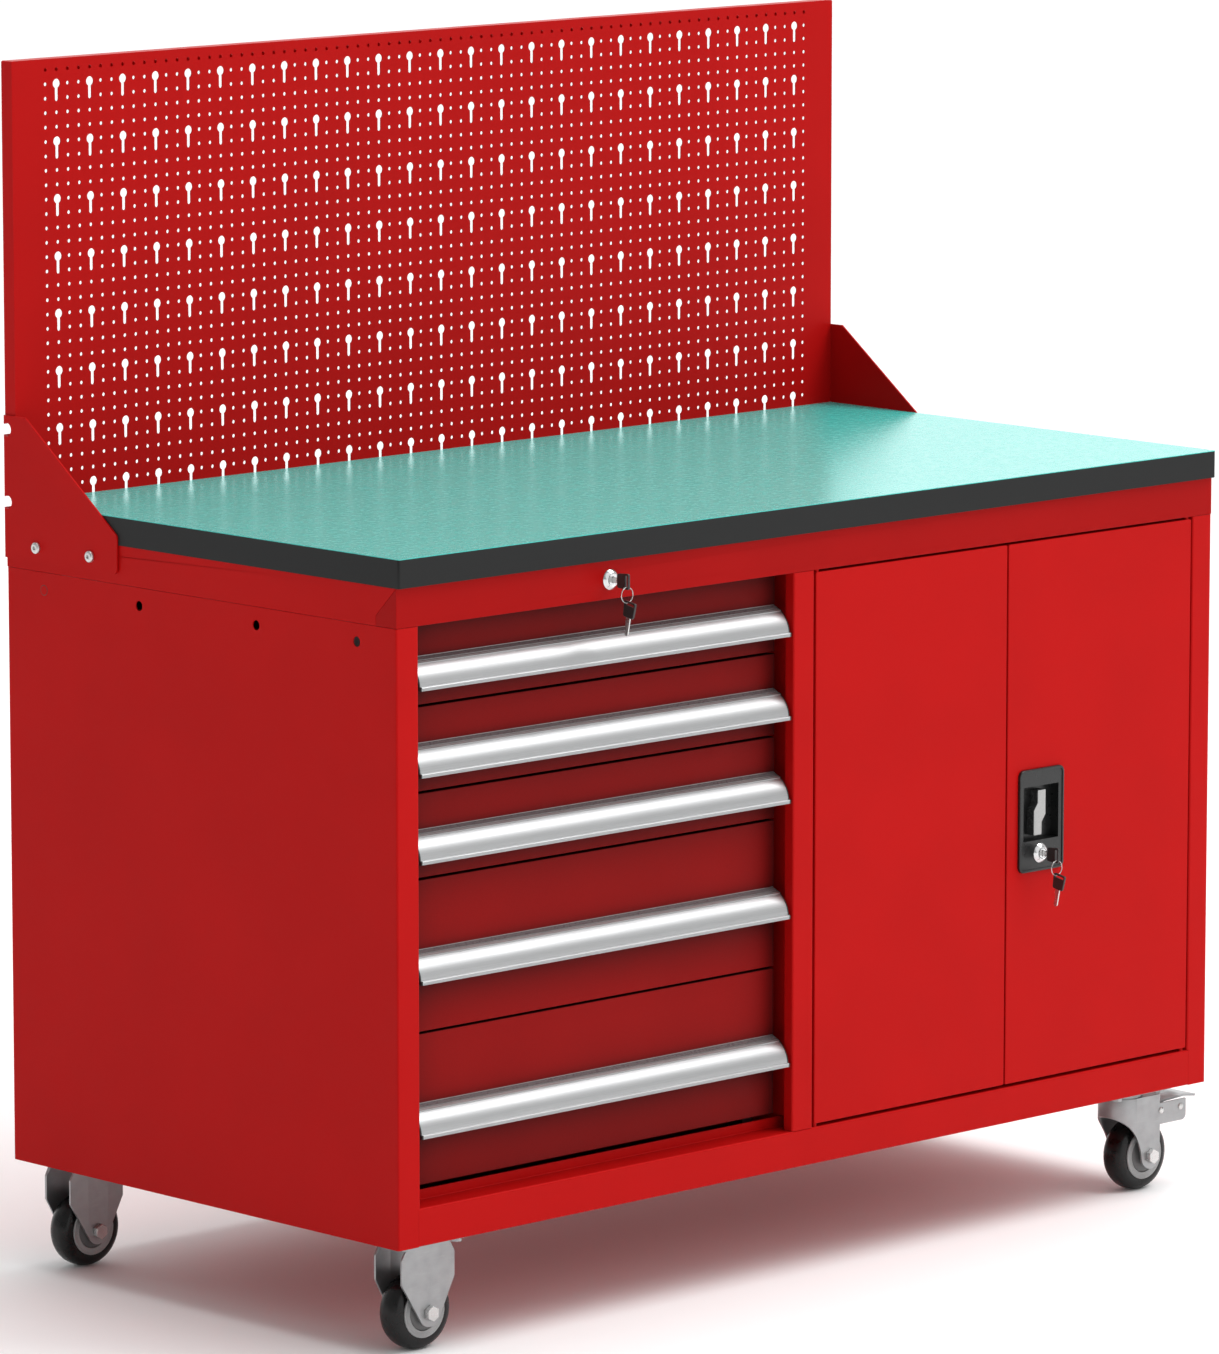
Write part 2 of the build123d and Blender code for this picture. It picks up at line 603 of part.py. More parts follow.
def lock_bar():
    """Lifting bar behind the drawers, with a lug for each and an arm to the lock."""
    x, z = DRAWER_LOCK
    wide = (BAY_MIDDLE - 10, BAY_MIDDLE + 10)
    bar = block(wide, (TRAY_BACK + 12, TRAY_BACK + 14), (DRAWER_STACK_BOTTOM + 20, z - 18))
    for gap_z, _ in drawer_levels():
        foot = gap_z + 37.5 - CRANK
        bar += block(wide, (TRAY_BACK + 2.5, TRAY_BACK + 12), (foot - 3, foot))
        bar += block(wide, (TRAY_BACK + 2.5, TRAY_BACK + 5), (foot, foot + 12))
    arm = (z - 20, z - 18)
    bar += block(wide, (CABINET_FRONT + 28, TRAY_BACK + 14), arm)
    plate = block((x - 14, x + CRANK + 8), (CABINET_FRONT + 26, CABINET_FRONT + 28), (z - 20, z + 9))
    plate -= block((x - 6, x + CRANK + 4), (CABINET_FRONT + 20, CABINET_FRONT + 30), (z - 4.5, z + 4.5))
    return bar + plate


# ------------------------------------------------------------------------ doors
def door(x_low, x_high, hinge_x):
    """Folded door pan with a bush for the hinge pin at the top and the bottom."""
    y = (CABINET_FRONT, CABINET_FRONT + DOOR_THICKNESS)
    pan = block((x_low, x_high), y, (DOOR_BOTTOM, DOOR_TOP))
    pan = fillet(pan.edges().filter_by(Axis.Y), 2.5)
    pan = fillet(pan.faces().sort_by(Axis.Y)[0].edges(), 1.0)
    inner_x = (x_low + DOOR_SHEET, x_high - DOOR_SHEET)
    inner_z = (DOOR_BOTTOM + DOOR_SHEET, DOOR_TOP - DOOR_SHEET)
    pan -= block(inner_x, (y[0] + DOOR_SHEET, y[1] - DOOR_SHEET), inner_z)
    lip = 18
    pan -= block((inner_x[0] + lip, inner_x[1] - lip), (y[0] + DOOR_SHEET, y[1] + 1),
                 (inner_z[0] + lip, inner_z[1] - lip))
    hinge_y = CABINET_FRONT + HINGE_INSET
    for low in (DOOR_BOTTOM, DOOR_TOP - 9):
        pan += rod((hinge_x, hinge_y, low + 0.5), (0, 0, 1), 8, 4.5)
    for low in (DOOR_BOTTOM, DOOR_TOP - 10):
        pan -= rod((hinge_x, hinge_y, low - 1), (0, 0, 1), 12, HINGE_PIN_RADIUS + RUNNING_CLEARANCE)
    return pan


def doors():
    left_hinge = LEFT_DOOR[0] + HINGE_INSET
    right_hinge = RIGHT_DOOR[1] - HINGE_INSET
    save("door_left", door(*LEFT_DOOR, left_hinge))
    pan = door(*RIGHT_DOOR, right_hinge)
    x_low, x_high, z_low, z_high = LOCK_PLATE
    pan -= block((x_low + 6, x_high - 6), (-360, -340), (z_low + 6, z_high - 6))
    save("door_right", pan)
    pins = []
    for x in (left_hinge, right_hinge):
        pins.append(rod((x, CABINET_FRONT + HINGE_INSET, RAIL_TOP), (0, 0, 1), 11, HINGE_PIN_RADIUS))
        pins.append(rod((x, CABINET_FRONT + HINGE_INSET, APRON_BOTTOM), (0, 0, -1), 10, HINGE_PIN_RADIUS))
    save("door_hinge_pins", *pins)


def door_lock_plate():
    """Escutcheon with a raised rim, a pocket for the lever and the lock's sleeve."""
    x_low, x_high, z_low, z_high = LOCK_PLATE
    face_y = CABINET_FRONT - PLATE_PROUD
    plate = block((x_low, x_high), (face_y, CABINET_FRONT), (z_low, z_high))
    plate = fillet(plate.edges().filter_by(Axis.Y), 9)
    plate = fillet(plate.faces().sort_by(Axis.Y)[0].edges(), 1.5)
    dish = block((x_low + 3.5, x_high - 3.5), (face_y - 1, face_y + 1.2), (z_low + 3.5, z_high - 3.5))
    plate -= fillet(dish.edges().filter_by(Axis.Y), 6)
    body = block((x_low + 6.3, x_high - 6.3), (CABINET_FRONT, CABINET_FRONT + 14),
                 (z_low + 6.3, z_high - 6.3))
    pocket = block(RECESS[:2], (face_y - 1, RECESS_FLOOR), RECESS[2:])
    shell = plate + body - pocket
    x, z = DOOR_LOCK
    shell += bezel(x, face_y + 1.2, z)
    shell -= rod((x, face_y - 6, z), (0, 1, 0), 40, BARREL_RADIUS + RUNNING_CLEARANCE)
    px, pz = LEVER_PIVOT
    return shell - rod((px, RECESS_FLOOR - 5, pz), (0, 1, 0), 20, 5 + RUNNING_CLEARANCE)


def door_lever():
    """S-shaped grip standing in the pocket, on a spindle through the lock."""
    px, pz = LEVER_PIVOT
    half, long = LEVER_HALF_WIDTH, LEVER_HALF_HEIGHT
    right, left = px + LEVER_OFFSET, px - LEVER_OFFSET
    grip = make_face(FilletPolyline(
        (right - half, pz + long), (right - half, pz + 13), (left - half, pz + 3),
        (left - half, pz - long), (left + half, pz - long), (left + half, pz - 13),
        (right + half, pz - 3), (right + half, pz + long), radius=1.5, close=True))
    body = deep(grip, CABINET_FRONT - PLATE_PROUD + LEVER_SUNK, RECESS_FLOOR - 0.5)
    return body + rod((px, RECESS_FLOOR - 1, pz), (0, 1, 0), 18, 5)


def latch_tongue():
    """Flat tongue on the lever's spindle, behind the door."""
    px, pz = LEVER_PIVOT
    y = (RECESS_FLOOR + 13, RECESS_FLOOR + 16)
    tongue = block((px - 9, px + 9), y, (pz - 10, pz + 80))
    tongue = fillet(tongue.edges().filter_by(Axis.Y), 4)
    return tongue - rod((px, y[0] - 1, pz), (0, 1, 0), 6, 5)


def door_lock():
    x, z = DOOR_LOCK
    save("door_lock_plate", door_lock_plate())
    save("door_lock_lever", door_lever())
    save("door_latch_tongue", latch_tongue())
    face_y = CABINET_FRONT - PLATE_PROUD + 1.2 - BEZEL_HEIGHT
    plug = barrel(x, z, face_y, 26)
    cam = block((x - 5, x + 5), (face_y + 26, face_y + 28), (z - 5, z + 12))
    save("door_lock_barrel", plug + cam)
    key_set("door", x, z, face_y)


# ---------------------------------------------------------------------- casters
def wheel(x, y):
    """Polyurethane tyre on a grey hub with raised bearing caps."""
    core = rod((x, y - HUB_HALF, WHEEL_RADIUS), (0, 1, 0), 2 * HUB_HALF, HUB_RADIUS)
    for face in (-1, 1):
        groove = rod((x, y + face * (HUB_HALF + 1), WHEEL_RADIUS), (0, -face, 0), 2.5, 30)
        cap = rod((x, y + face * (HUB_HALF + 1), WHEEL_RADIUS), (0, -face, 0), 4, 23.5)
        core -= groove - cap
    core -= rod((x, y - 30, WHEEL_RADIUS), (0, 1, 0), 60, AXLE_RADIUS + RUNNING_CLEARANCE)
    tyre = rod((x, y - TYRE_HALF, WHEEL_RADIUS), (0, 1, 0), 2 * TYRE_HALF, WHEEL_RADIUS)
    tyre = fillet(tyre.edges(), 9)
    tyre -= rod((x, y - 30, WHEEL_RADIUS), (0, 1, 0), 60, HUB_RADIUS)
    return core, tyre


def axle(x, y, half):
    """Axle bolt with a hexagon head in front and a nut behind."""
    bolt = rod((x, y - half, WHEEL_RADIUS), (0, 1, 0), 2 * half, AXLE_RADIUS)
    for sign in (-1, 1):
        place = Plane(origin=(x, y + sign * half, WHEEL_RADIUS), z_dir=(0, sign, 0))
        bolt += place * extrude(RegularPolygon(10.4, 6), amount=7)
    return bolt


def caster_plate(x, y, thickness=3.0):
    z = (CASTER_HEIGHT - thickness, CASTER_HEIGHT)
    plate = block((x - 52.5, x + 52.5), (y - 42.5, y + 42.5), z)
    return fillet(plate.edges().filter_by(Axis.Z), 6)


def rigid_fork(y):
    """Top plate with two kite-shaped legs, their flanks folded in."""
    x = RIGID_X
    top = CASTER_HEIGHT - 3
    kite = Polyline((x - 34, top), (x - 45, 123), (x - 45, 91.5), (x + 45, 91.5), (x + 45, 123),
                    (x + 34, top), close=True)
    boss = CenterArc((x, WHEEL_RADIUS), 18, 0, 360)
    side = make_hull(kite.edges() + boss.edges())
    legs = []
    for sign in (-1, 1):
        plan = [(x - 45, y + sign * 26), (x - 17, y + sign * 29),
                (x + 17, y + sign * 29), (x + 45, y + sign * 26)]
        plan = plan if sign < 0 else plan[::-1]
        fold = upright(bent_sheet(plan, 3.0, 1.0), 20, top)
        leg = fold & deep(side, y - 40, y + 40)
        legs.append(leg - rod((x, y - 60, WHEEL_RADIUS), (0, 1, 0), 120, AXLE_RADIUS + 0.1))
    return caster_plate(x, y) + legs[0] + legs[1]


def swivel_fork(y):
    """Fork wrapped round the swivel head, trailing towards +X."""
    x = SWIVEL_X
    top = 134.0
    plan = Pos(x, y) * (Circle(FORK_RADIUS) + Pos(60, 0) * Rectangle(120, 2 * FORK_RADIUS))
    plan -= Pos(x, y) * (Circle(FORK_RADIUS - 3) + Pos(80, 0) * Rectangle(160, 2 * FORK_RADIUS - 6))
    skirt = upright(plan, 20, top)
    axle_x = x + TRAIL
    side = make_face([
        Polyline((axle_x + 18, WHEEL_RADIUS), (axle_x + 18, 91.5), (x + FLAP_REACH - 8, 91.5)),
        ThreePointArc((x + FLAP_REACH - 8, 91.5), (x + FLAP_REACH - 2.3, 93.8), (x + FLAP_REACH, 99.5)),
        Polyline((x + FLAP_REACH, 99.5), (x + FLAP_REACH, 121), (axle_x + 18, 121), (axle_x + 18, top),
                 (x - 40, top), (x - 40, 112)),
        ThreePointArc((x - 40, 112), (x - 6, 88), (axle_x - 18, WHEEL_RADIUS)),
        ThreePointArc((axle_x - 18, WHEEL_RADIUS), (axle_x, WHEEL_RADIUS - 18), (axle_x + 18, WHEEL_RADIUS)),
    ])
    fork = skirt & deep(side, y - 50, y + 50)
    fork += rod((x, y, top - 3), (0, 0, 1), 3, FORK_RADIUS)
    fork += rod((x, y, top), (0, 0, 1), 3.5, 28)
    fork -= rod((x, y, 100), (0, 0, 1), 60, KINGPIN_RADIUS + RUNNING_CLEARANCE)
    return fork - rod((axle_x, y - 60, WHEEL_RADIUS), (0, 1, 0), 120, AXLE_RADIUS + 0.1)


def swivel_plate(y):
    """Mounting plate with the upper race and the kingpin."""
    plate = caster_plate(SWIVEL_X, y)
    plate += rod((SWIVEL_X, y, CASTER_HEIGHT - 3), (0, 0, -1), 4, 29.5)
    plate += rod((SWIVEL_X, y, CASTER_HEIGHT - 4), (0, 0, -1), 16, KINGPIN_RADIUS)
    return plate


def brake_pedal(y):
    """Foot pedal between the fork's flaps, with the shoe that meets the tyre."""
    px, pz = SWIVEL_X + PEDAL_PIVOT[0], PEDAL_PIVOT[1]
    hub = rod((px, y - 26, pz), (0, 1, 0), 52, 5)
    neck = block((px - 3, px + 3), (y - 20, y + 20), (pz, 122))
    tread = deep(outline([
        (px - 3, 119.4), (px + 52, 122), (px + 76, 119), (px + 77, 122), (px + 52, 125.4), (px - 3, 122.4),
    ]), y - 24, y + 24)
    shoe = block((px + 13, px + 21), (y - 16, y + 16), (93, 121))
    return hub + neck + tread + shoe


def casters():
    for end, y in CASTER_YS.items():
        save(f"rigid_caster_fork_{end}", rigid_fork(y), axle(RIGID_X, y, 29.2))
        save(f"swivel_caster_fork_{end}", swivel_fork(y), axle(SWIVEL_X + TRAIL, y, 31.2))
        save(f"wheel_{end}_left", *wheel(RIGID_X, y))
        save(f"wheel_{end}_right", *wheel(SWIVEL_X + TRAIL, y))
        save(f"brake_pedal_{end}", brake_pedal(y))
    save("swivel_caster_plates", *[swivel_plate(y) for y in CASTER_YS.values()])


def main():
    os.makedirs("parts", exist_ok=True)
    for side in SIDES:
        save(f"side_panel_{side}", mirrored(side_panel(), side))
        save(f"apron_{side}", mirrored(apron_side(), side))
        save(f"pegboard_bracket_{side}", mirrored(pegboard_bracket(), side))
    save("back_panel", back_panel())
    save("base_panel", base_panel())
    save("bottom_rail", bottom_rail())
    save("centre_divider", centre_divider())
    save("apron_front", apron_front())
    save("apron_back", apron_back())
    save("cupboard_shelf", cupboard_shelf())
    worktop()
    save("pegboard", pegboard())
    screws = [mirrored(button_screw(y), side) for side in SIDES for y in BRACKET_SCREW_YS]
    save("bracket_screws", *screws)
    save("slide_uprights", *slide_uprights())
    drawers()
    drawer_lock()
    doors()
    door_lock()
    casters()


main()
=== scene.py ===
"""Looks of the mobile workbench: materials, fine pieces, camera, lights and floor.

Metres, in the frame of the CAD model: X along the bench, -Y the front, +Z up.
"""
import json
import math

import bmesh
import bpy
from mathutils import Matrix, Vector


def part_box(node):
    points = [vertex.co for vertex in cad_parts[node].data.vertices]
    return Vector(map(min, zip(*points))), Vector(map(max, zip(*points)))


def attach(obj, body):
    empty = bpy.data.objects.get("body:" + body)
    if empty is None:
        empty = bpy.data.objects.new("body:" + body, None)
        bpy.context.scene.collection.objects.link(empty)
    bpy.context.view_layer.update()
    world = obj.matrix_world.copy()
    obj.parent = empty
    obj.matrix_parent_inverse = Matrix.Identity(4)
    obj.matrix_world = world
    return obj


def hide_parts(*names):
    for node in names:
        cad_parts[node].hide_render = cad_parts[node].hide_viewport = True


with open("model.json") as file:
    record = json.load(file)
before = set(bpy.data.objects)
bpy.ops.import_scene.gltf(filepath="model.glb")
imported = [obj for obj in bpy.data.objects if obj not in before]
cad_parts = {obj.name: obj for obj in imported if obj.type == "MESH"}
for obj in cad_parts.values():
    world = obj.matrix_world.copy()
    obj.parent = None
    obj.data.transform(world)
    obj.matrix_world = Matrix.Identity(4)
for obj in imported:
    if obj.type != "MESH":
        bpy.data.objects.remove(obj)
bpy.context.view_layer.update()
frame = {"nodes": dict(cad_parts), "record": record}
MM = 0.001

# ------------------------------------------------------------------ camera, light
CAMERA_PLACE = Vector((-7.576, -7.851, 2.484))
CAMERA_AIM = Vector((0.683683, 0.712687, -0.157018))
CAMERA_LENS = 220.7          # mm on a 36 mm sensor along the picture's height


def add_camera():
    data = bpy.data.cameras.new("camera")
    data.lens = CAMERA_LENS
    data.sensor_width = 36.0
    data.clip_end = 1000.0
    camera = bpy.data.objects.new("camera", data)
    camera.location = CAMERA_PLACE
    camera.rotation_euler = CAMERA_AIM.to_track_quat("-Z", "Y").to_euler()
    bpy.context.scene.collection.objects.link(camera)
    bpy.context.scene.camera = camera


def area_light(name, place, target, width, height, power):
    data = bpy.data.lights.new(name, "AREA")
    data.shape = "RECTANGLE"
    data.size = width
    data.size_y = height
    data.energy = power
    light = bpy.data.objects.new(name, data)
    light.location = place
    light.rotation_euler = (Vector(target) - Vector(place)).to_track_quat("-Z", "Y").to_euler()
    bpy.context.scene.collection.objects.link(light)


def add_lights():
    area_light("key_softbox", (4.6, -4.6, 8.2), (0.0, -0.2, 0.7), 5.0, 4.0, 410)
    soft_sun("overhead", (-0.12, 0.10, -1.0), 1.5, 40)
    soft_sun("front_fill", (-0.06, 0.95, -0.30), 0.70, 70)
    add_world()


def soft_sun(name, direction, strength, angle):
    """Even light from one side, as from a distant large window."""
    data = bpy.data.lights.new(name, "SUN")
    data.energy = strength
    data.angle = math.radians(angle)
    light = bpy.data.objects.new(name, data)
    light.rotation_euler = Vector(direction).to_track_quat("-Z", "Y").to_euler()
    bpy.context.scene.collection.objects.link(light)


def add_world():
    """White studio, brighter behind the bench on the right."""
    world = bpy.data.worlds.new("studio")
    bpy.context.scene.world = world
    world.use_nodes = True
    tree = world.node_tree
    background = tree.nodes["Background"]
    background.inputs["Color"].default_value = (1.0, 1.0, 1.0, 1.0)
    place = tree.nodes.new("ShaderNodeTexCoord")
    towards = tree.nodes.new("ShaderNodeVectorMath")
    towards.operation = "DOT_PRODUCT"
    towards.inputs[1].default_value = (0.69, 0.72, 0.0)
    spread = tree.nodes.new("ShaderNodeMapRange")
    spread.interpolation_type = "SMOOTHSTEP"
    for socket, number in zip(("From Min", "From Max", "To Min", "To Max"), (0.1, 0.95, 0.40, 1.5)):
        spread.inputs[socket].default_value = number
    tree.links.new(place.outputs["Generated"], towards.inputs[0])
    tree.links.new(towards.outputs["Value"], spread.inputs["Value"])
    tree.links.new(spread.outputs["Result"], background.inputs["Strength"])


def add_floor():
    bpy.ops.mesh.primitive_plane_add(size=600, location=(0, 0, 0))
    floor = bpy.context.object
    floor.name = "floor"
    paint = bpy.data.materials.new("floor_paper")
    paint.use_nodes = True
    shader = paint.node_tree.nodes["Principled BSDF"]
    shader.inputs["Base Color"].default_value = (0.93, 0.93, 0.93, 1)
    shader.inputs["Roughness"].default_value = 0.9
    shader.inputs["Specular IOR Level"].default_value = 0.1
    floor.data.materials.append(paint)


# ---------------------------------------------------------------------- materials
class Shader:
    """A material with one Principled shader and a few ways of adding texture."""

    def __init__(self, name, colour, roughness, metallic=0.0):
        self.material = bpy.data.materials.new(name)
        self.material.use_nodes = True
        self.tree = self.material.node_tree
        self.main = self.tree.nodes["Principled BSDF"]
        self.colour = colour
        self.main.inputs["Base Color"].default_value = (*colour, 1)
        self.main.inputs["Roughness"].default_value = roughness
        self.main.inputs["Metallic"].default_value = metallic
        self.normal = None

    def set(self, **values):
        for socket, value in values.items():
            self.main.inputs[socket].default_value = value
        return self

    def node(self, kind, **inputs):
        made = self.tree.nodes.new(kind)
        for socket, value in inputs.items():
            made.inputs[socket].default_value = value
        return made

    def link(self, source, target):
        self.tree.links.new(source, target)

    def noise(self, scale, detail=2.0, stretch=(1, 1, 1), turn=(0, 0, 0)):
        """Noise over the object's own metres, stretched and turned."""
        place = self.node("ShaderNodeTexCoord")
        mapping = self.node("ShaderNodeMapping", Scale=stretch, Rotation=turn)
        texture = self.node("ShaderNodeTexNoise", Scale=scale, Detail=detail)
        self.link(place.outputs["Object"], mapping.inputs["Vector"])
        self.link(mapping.outputs["Vector"], texture.inputs["Vector"])
        return texture.outputs["Fac"]

    def stripes(self, scale, turn=(0, 0, 0), distortion=0.0):
        place = self.node("ShaderNodeTexCoord")
        mapping = self.node("ShaderNodeMapping", Rotation=turn)
        wave = self.node("ShaderNodeTexWave", Scale=scale, Distortion=distortion)
        self.link(place.outputs["Object"], mapping.inputs["Vector"])
        self.link(mapping.outputs["Vector"], wave.inputs["Vector"])
        return wave.outputs["Fac"]

    def spread(self, value, low, high, start=0.3, stop=0.7):
        """Map a texture's values onto a range."""
        mapped = self.node("ShaderNodeMapRange")
        for socket, number in zip(("From Min", "From Max", "To Min", "To Max"), (start, stop, low, high)):
            mapped.inputs[socket].default_value = number
        self.link(value, mapped.inputs["Value"])
        return mapped.outputs["Result"]

    def rough(self, value, low, high):
        self.link(self.spread(value, low, high), self.main.inputs["Roughness"])
        return self

    def tint(self, value, other, start=0.35, stop=0.65):
        """Blend the base colour towards another where the texture is high."""
        mix = self.node("ShaderNodeMix")
        mix.data_type = "RGBA"
        source = self.main.inputs["Base Color"]
        if source.links:
            self.link(source.links[0].from_socket, mix.inputs[6])
        else:
            mix.inputs[6].default_value = (*self.colour, 1)
        mix.inputs[7].default_value = (*other, 1)
        self.link(self.spread(value, 0, 1, start, stop), mix.inputs["Factor"])
        self.link(mix.outputs[2], source)
        return self

    def bump(self, value, depth, strength=1.0):
        made = self.node("ShaderNodeBump", Strength=strength, Distance=depth)
        self.link(value, made.inputs["Height"])
        if self.normal:
            self.link(self.normal, made.inputs["Normal"])
        self.normal = made.outputs["Normal"]
        self.link(self.normal, self.main.inputs["Normal"])
        return self

    def shade_recesses(self, reach, dark):
        """Painted shade: darken the colour where other surfaces stand close in front of it."""
        # painted shade: ambient occlusion turned into a darker base colour
        painted_shade_amount = self.node("ShaderNodeAmbientOcclusion", Distance=reach)
        painted_shade_amount.samples = 6
        mix = self.node("ShaderNodeMix")
        mix.data_type = "RGBA"
        source = self.main.inputs["Base Color"]
        mix.inputs[6].default_value = (*dark, 1)
        self.link(source.links[0].from_socket, mix.inputs[7])
        self.link(self.spread(painted_shade_amount.outputs["AO"], 0, 1, 0.45, 1.0), mix.inputs["Factor"])
        self.link(mix.outputs[2], source)
        return self


def scaled(colour, factor):
    return tuple(min(1.0, channel * factor) for channel in colour)


def powder_coat(name, colour, painted_recess_shade=False):
    """Red powder coat: fine orange peel, faint colour drift, soft gloss, and when asked, painted shade
    darkening it in recesses.
    """
    paint = Shader(name, colour, 0.38)
    peel = paint.noise(700, 3.0)
    drift = paint.noise(6, 2.0)
    paint.rough(paint.noise(25, 4.0), 0.34, 0.44)
    paint.tint(drift, scaled(colour, 0.94))
    paint.tint(paint.noise(1500, 1.0), scaled(colour, 0.97), 0.5, 0.75)
    paint.bump(peel, 0.00006, 0.35)
    # painted shade: the colour darkens to near black-red within 0.10 m of other surfaces
    if painted_recess_shade:
        paint.shade_recesses(0.10, (0.030, 0.005, 0.005))
    return paint.set(**{"Specular IOR Level": 0.05}).material


def laminate():
    """Glossy blue-green worktop skin with a faint pearl texture."""
    base = (0.035, 0.50, 0.44)
    skin = Shader("worktop_laminate", base, 0.26)
    skin.rough(skin.noise(120, 3.0), 0.22, 0.30)
    skin.tint(skin.noise(9, 3.0), scaled(base, 1.02))
    skin.tint(skin.noise(1400, 2.0), scaled(base, 0.99), 0.5, 0.8)
    skin.bump(skin.noise(400, 2.0), 0.00001, 0.03)
    return skin.material


def black_band():
    """Black edge band with a fine pressed grain."""
    band = Shader("black_edge_band", (0.010, 0.0105, 0.0105), 0.5)
    grain = band.noise(1200, 3.0, stretch=(1, 1, 2.5))
    band.tint(grain, (0.014, 0.0145, 0.0145))
    band.rough(grain, 0.42, 0.56)
    band.bump(grain, 0.00003, 0.3)
    return band.set(**{"Specular IOR Level": 0.2}).material


def aluminium():
    """Satin anodised extrusion: fine draw lines along the length."""
    metal = Shader("satin_aluminium", (0.50, 0.505, 0.51), 0.42, 1.0)
    lines = metal.noise(900, 3.0, stretch=(0.012, 1, 1))
    metal.rough(lines, 0.36, 0.46)
    metal.tint(lines, (0.46, 0.465, 0.47))
    metal.bump(lines, 0.00004, 0.35)
    return metal.material


def zinc(name, colour, low=0.32, high=0.5):
    """Pressed zinc-plated steel: cloudy plating with fine scratches."""
    metal = Shader(name, colour, 0.4, 0.9)
    cloud = metal.noise(60, 5.0)
    scratch = metal.noise(500, 3.0, stretch=(0.08, 1, 1), turn=(0.3, 0.2, 0.7))
    metal.tint(cloud, scaled(colour, 0.95))
    metal.tint(scratch, scaled(colour, 1.05), 0.55, 0.8)
    metal.rough(cloud, low, high)
    metal.bump(scratch, 0.00003, 0.4)
    return metal.material


def chrome():
    metal = Shader("nickel_plate", (0.68, 0.68, 0.68), 0.14, 1.0)
    rings = metal.noise(1500, 2.0)
    metal.rough(rings, 0.10, 0.2)
    metal.tint(metal.noise(300, 2.0), (0.62, 0.62, 0.63))
    return metal.material


def moulding(name, colour, low, high, grain=1400, depth=0.00003):
    """Moulded plastic with a fine spark-eroded grain."""
    plastic = Shader(name, colour, high)
    fine = plastic.noise(grain, 2.0)
    plastic.tint(fine, scaled(colour, 1.25))
    plastic.rough(plastic.noise(200, 3.0), low, high)
    plastic.bump(fine, depth, 0.35)
    return plastic.material


def tread():
    """Black polyurethane, slightly glossy, with scuffs and dust."""
    rubber = Shader("black_tread", (0.004, 0.004, 0.004), 0.3)
    scuff = rubber.noise(90, 5.0)
    rubber.tint(scuff, (0.008, 0.008, 0.008))
    rubber.rough(scuff, 0.22, 0.40)
    rubber.bump(rubber.noise(900, 3.0), 0.00004, 0.3)
    return rubber.set(**{"Specular IOR Level": 0.3}).material


def label_strip():
    """Clear cover over a grey label: diagonal hatching seen through gloss."""
    cover = Shader("label_cover", (0.17, 0.145, 0.15), 0.3)
    hatch = cover.stripes(230, turn=(0, 0, math.radians(62)))
    cover.tint(hatch, (0.08, 0.07, 0.07), 0.5, 0.6)
    cover.rough(cover.noise(300, 2.0), 0.24, 0.36)
    return cover.set(**{"Specular IOR Level": 0.3}).material


def chipboard():
    core = Shader("chipboard", (0.36, 0.25, 0.14), 0.8)
    chips = core.noise(350, 5.0)
    core.tint(chips, (0.20, 0.13, 0.07))
    core.bump(chips, 0.0002, 0.5)
    return core.material


RED = (0.46, 0.0050, 0.0048)
# darker copy of the red for the drawers: painted shade of the recess they sit in
DRAWER_SHADED_RED = (0.27, 0.0050, 0.0048)
MATERIALS = {
    "red_paint": powder_coat("red_powder_coat", RED),
    "drawer_paint": powder_coat("drawer_shaded_powder_coat", DRAWER_SHADED_RED, painted_recess_shade=True),
    "satin_aluminium": aluminium(),
    "zinc_plated_steel": zinc("zinc_plating", (0.37, 0.375, 0.38)),
    "black_tread": tread(),
    "chipboard": chipboard(),
    "black_edging": black_band(),
    "teal_surface": laminate(),
    "bright_screws": zinc("bright_zinc", (0.62, 0.62, 0.61), 0.2, 0.34),
    "lock_chrome": chrome(),
    "key_plastic": moulding("key_head_plastic", (0.020, 0.018, 0.018), 0.3, 0.42),
    "lock_plastic": moulding("escutcheon_plastic", (0.0065, 0.007, 0.007), 0.26, 0.36),
    "lever_paint": moulding("lever_grey", (0.34, 0.34, 0.335), 0.3, 0.4),
}
HUB_GREY = moulding("hub_grey_plastic", (0.27, 0.27, 0.27), 0.38, 0.5)
CAP_GREY = moulding("bearing_cap_plastic", (0.10, 0.10, 0.10), 0.35, 0.5)
# darker copy of the red for the front apron: painted shadow of the worktop's overhang
APRON_SHADOW_PAINT = powder_coat("apron_shadow_powder_coat", scaled(RED, 0.76))
DARK_LEVER = moulding("lever_dark_plastic", (0.030, 0.031, 0.031), 0.2, 0.32)
END_CAP = moulding("end_cap_plastic", (0.016, 0.016, 0.016), 0.35, 0.5)
LABEL = label_strip()


def dress_cad_nodes():
    """Give every CAD node the material of its slot."""
    for row in frame["record"]["subparts"]:
        node = frame["nodes"][row["node"]]
        finish = MATERIALS[row["material_slot"]]
        if not node.material_slots:
            node.data.materials.append(finish)
        for held in node.material_slots:
            held.material = finish
    # the front apron takes the darker red, a painted shadow under the worktop's overhang
    for held in frame["nodes"]["apron_front"].material_slots:
        held.material = APRON_SHADOW_PAINT


EASED_NODES = {
    "worktop_surface": 0.35, "worktop_edging": 0.5, "apron_front": 0.5, "apron_left": 0.4, "apron_right": 0.4,
    "pegboard_bracket_left": 0.5, "pegboard_bracket_right": 0.5,
    "rigid_caster_fork_front": 0.6, "rigid_caster_fork_rear": 0.6,
    "swivel_caster_fork_front": 0.5, "swivel_caster_fork_rear": 0.5,
    "brake_pedal_front": 0.6, "brake_pedal_rear": 0.6, "door_latch_tongue": 0.4, "door_lock_plate": 0.5,
}


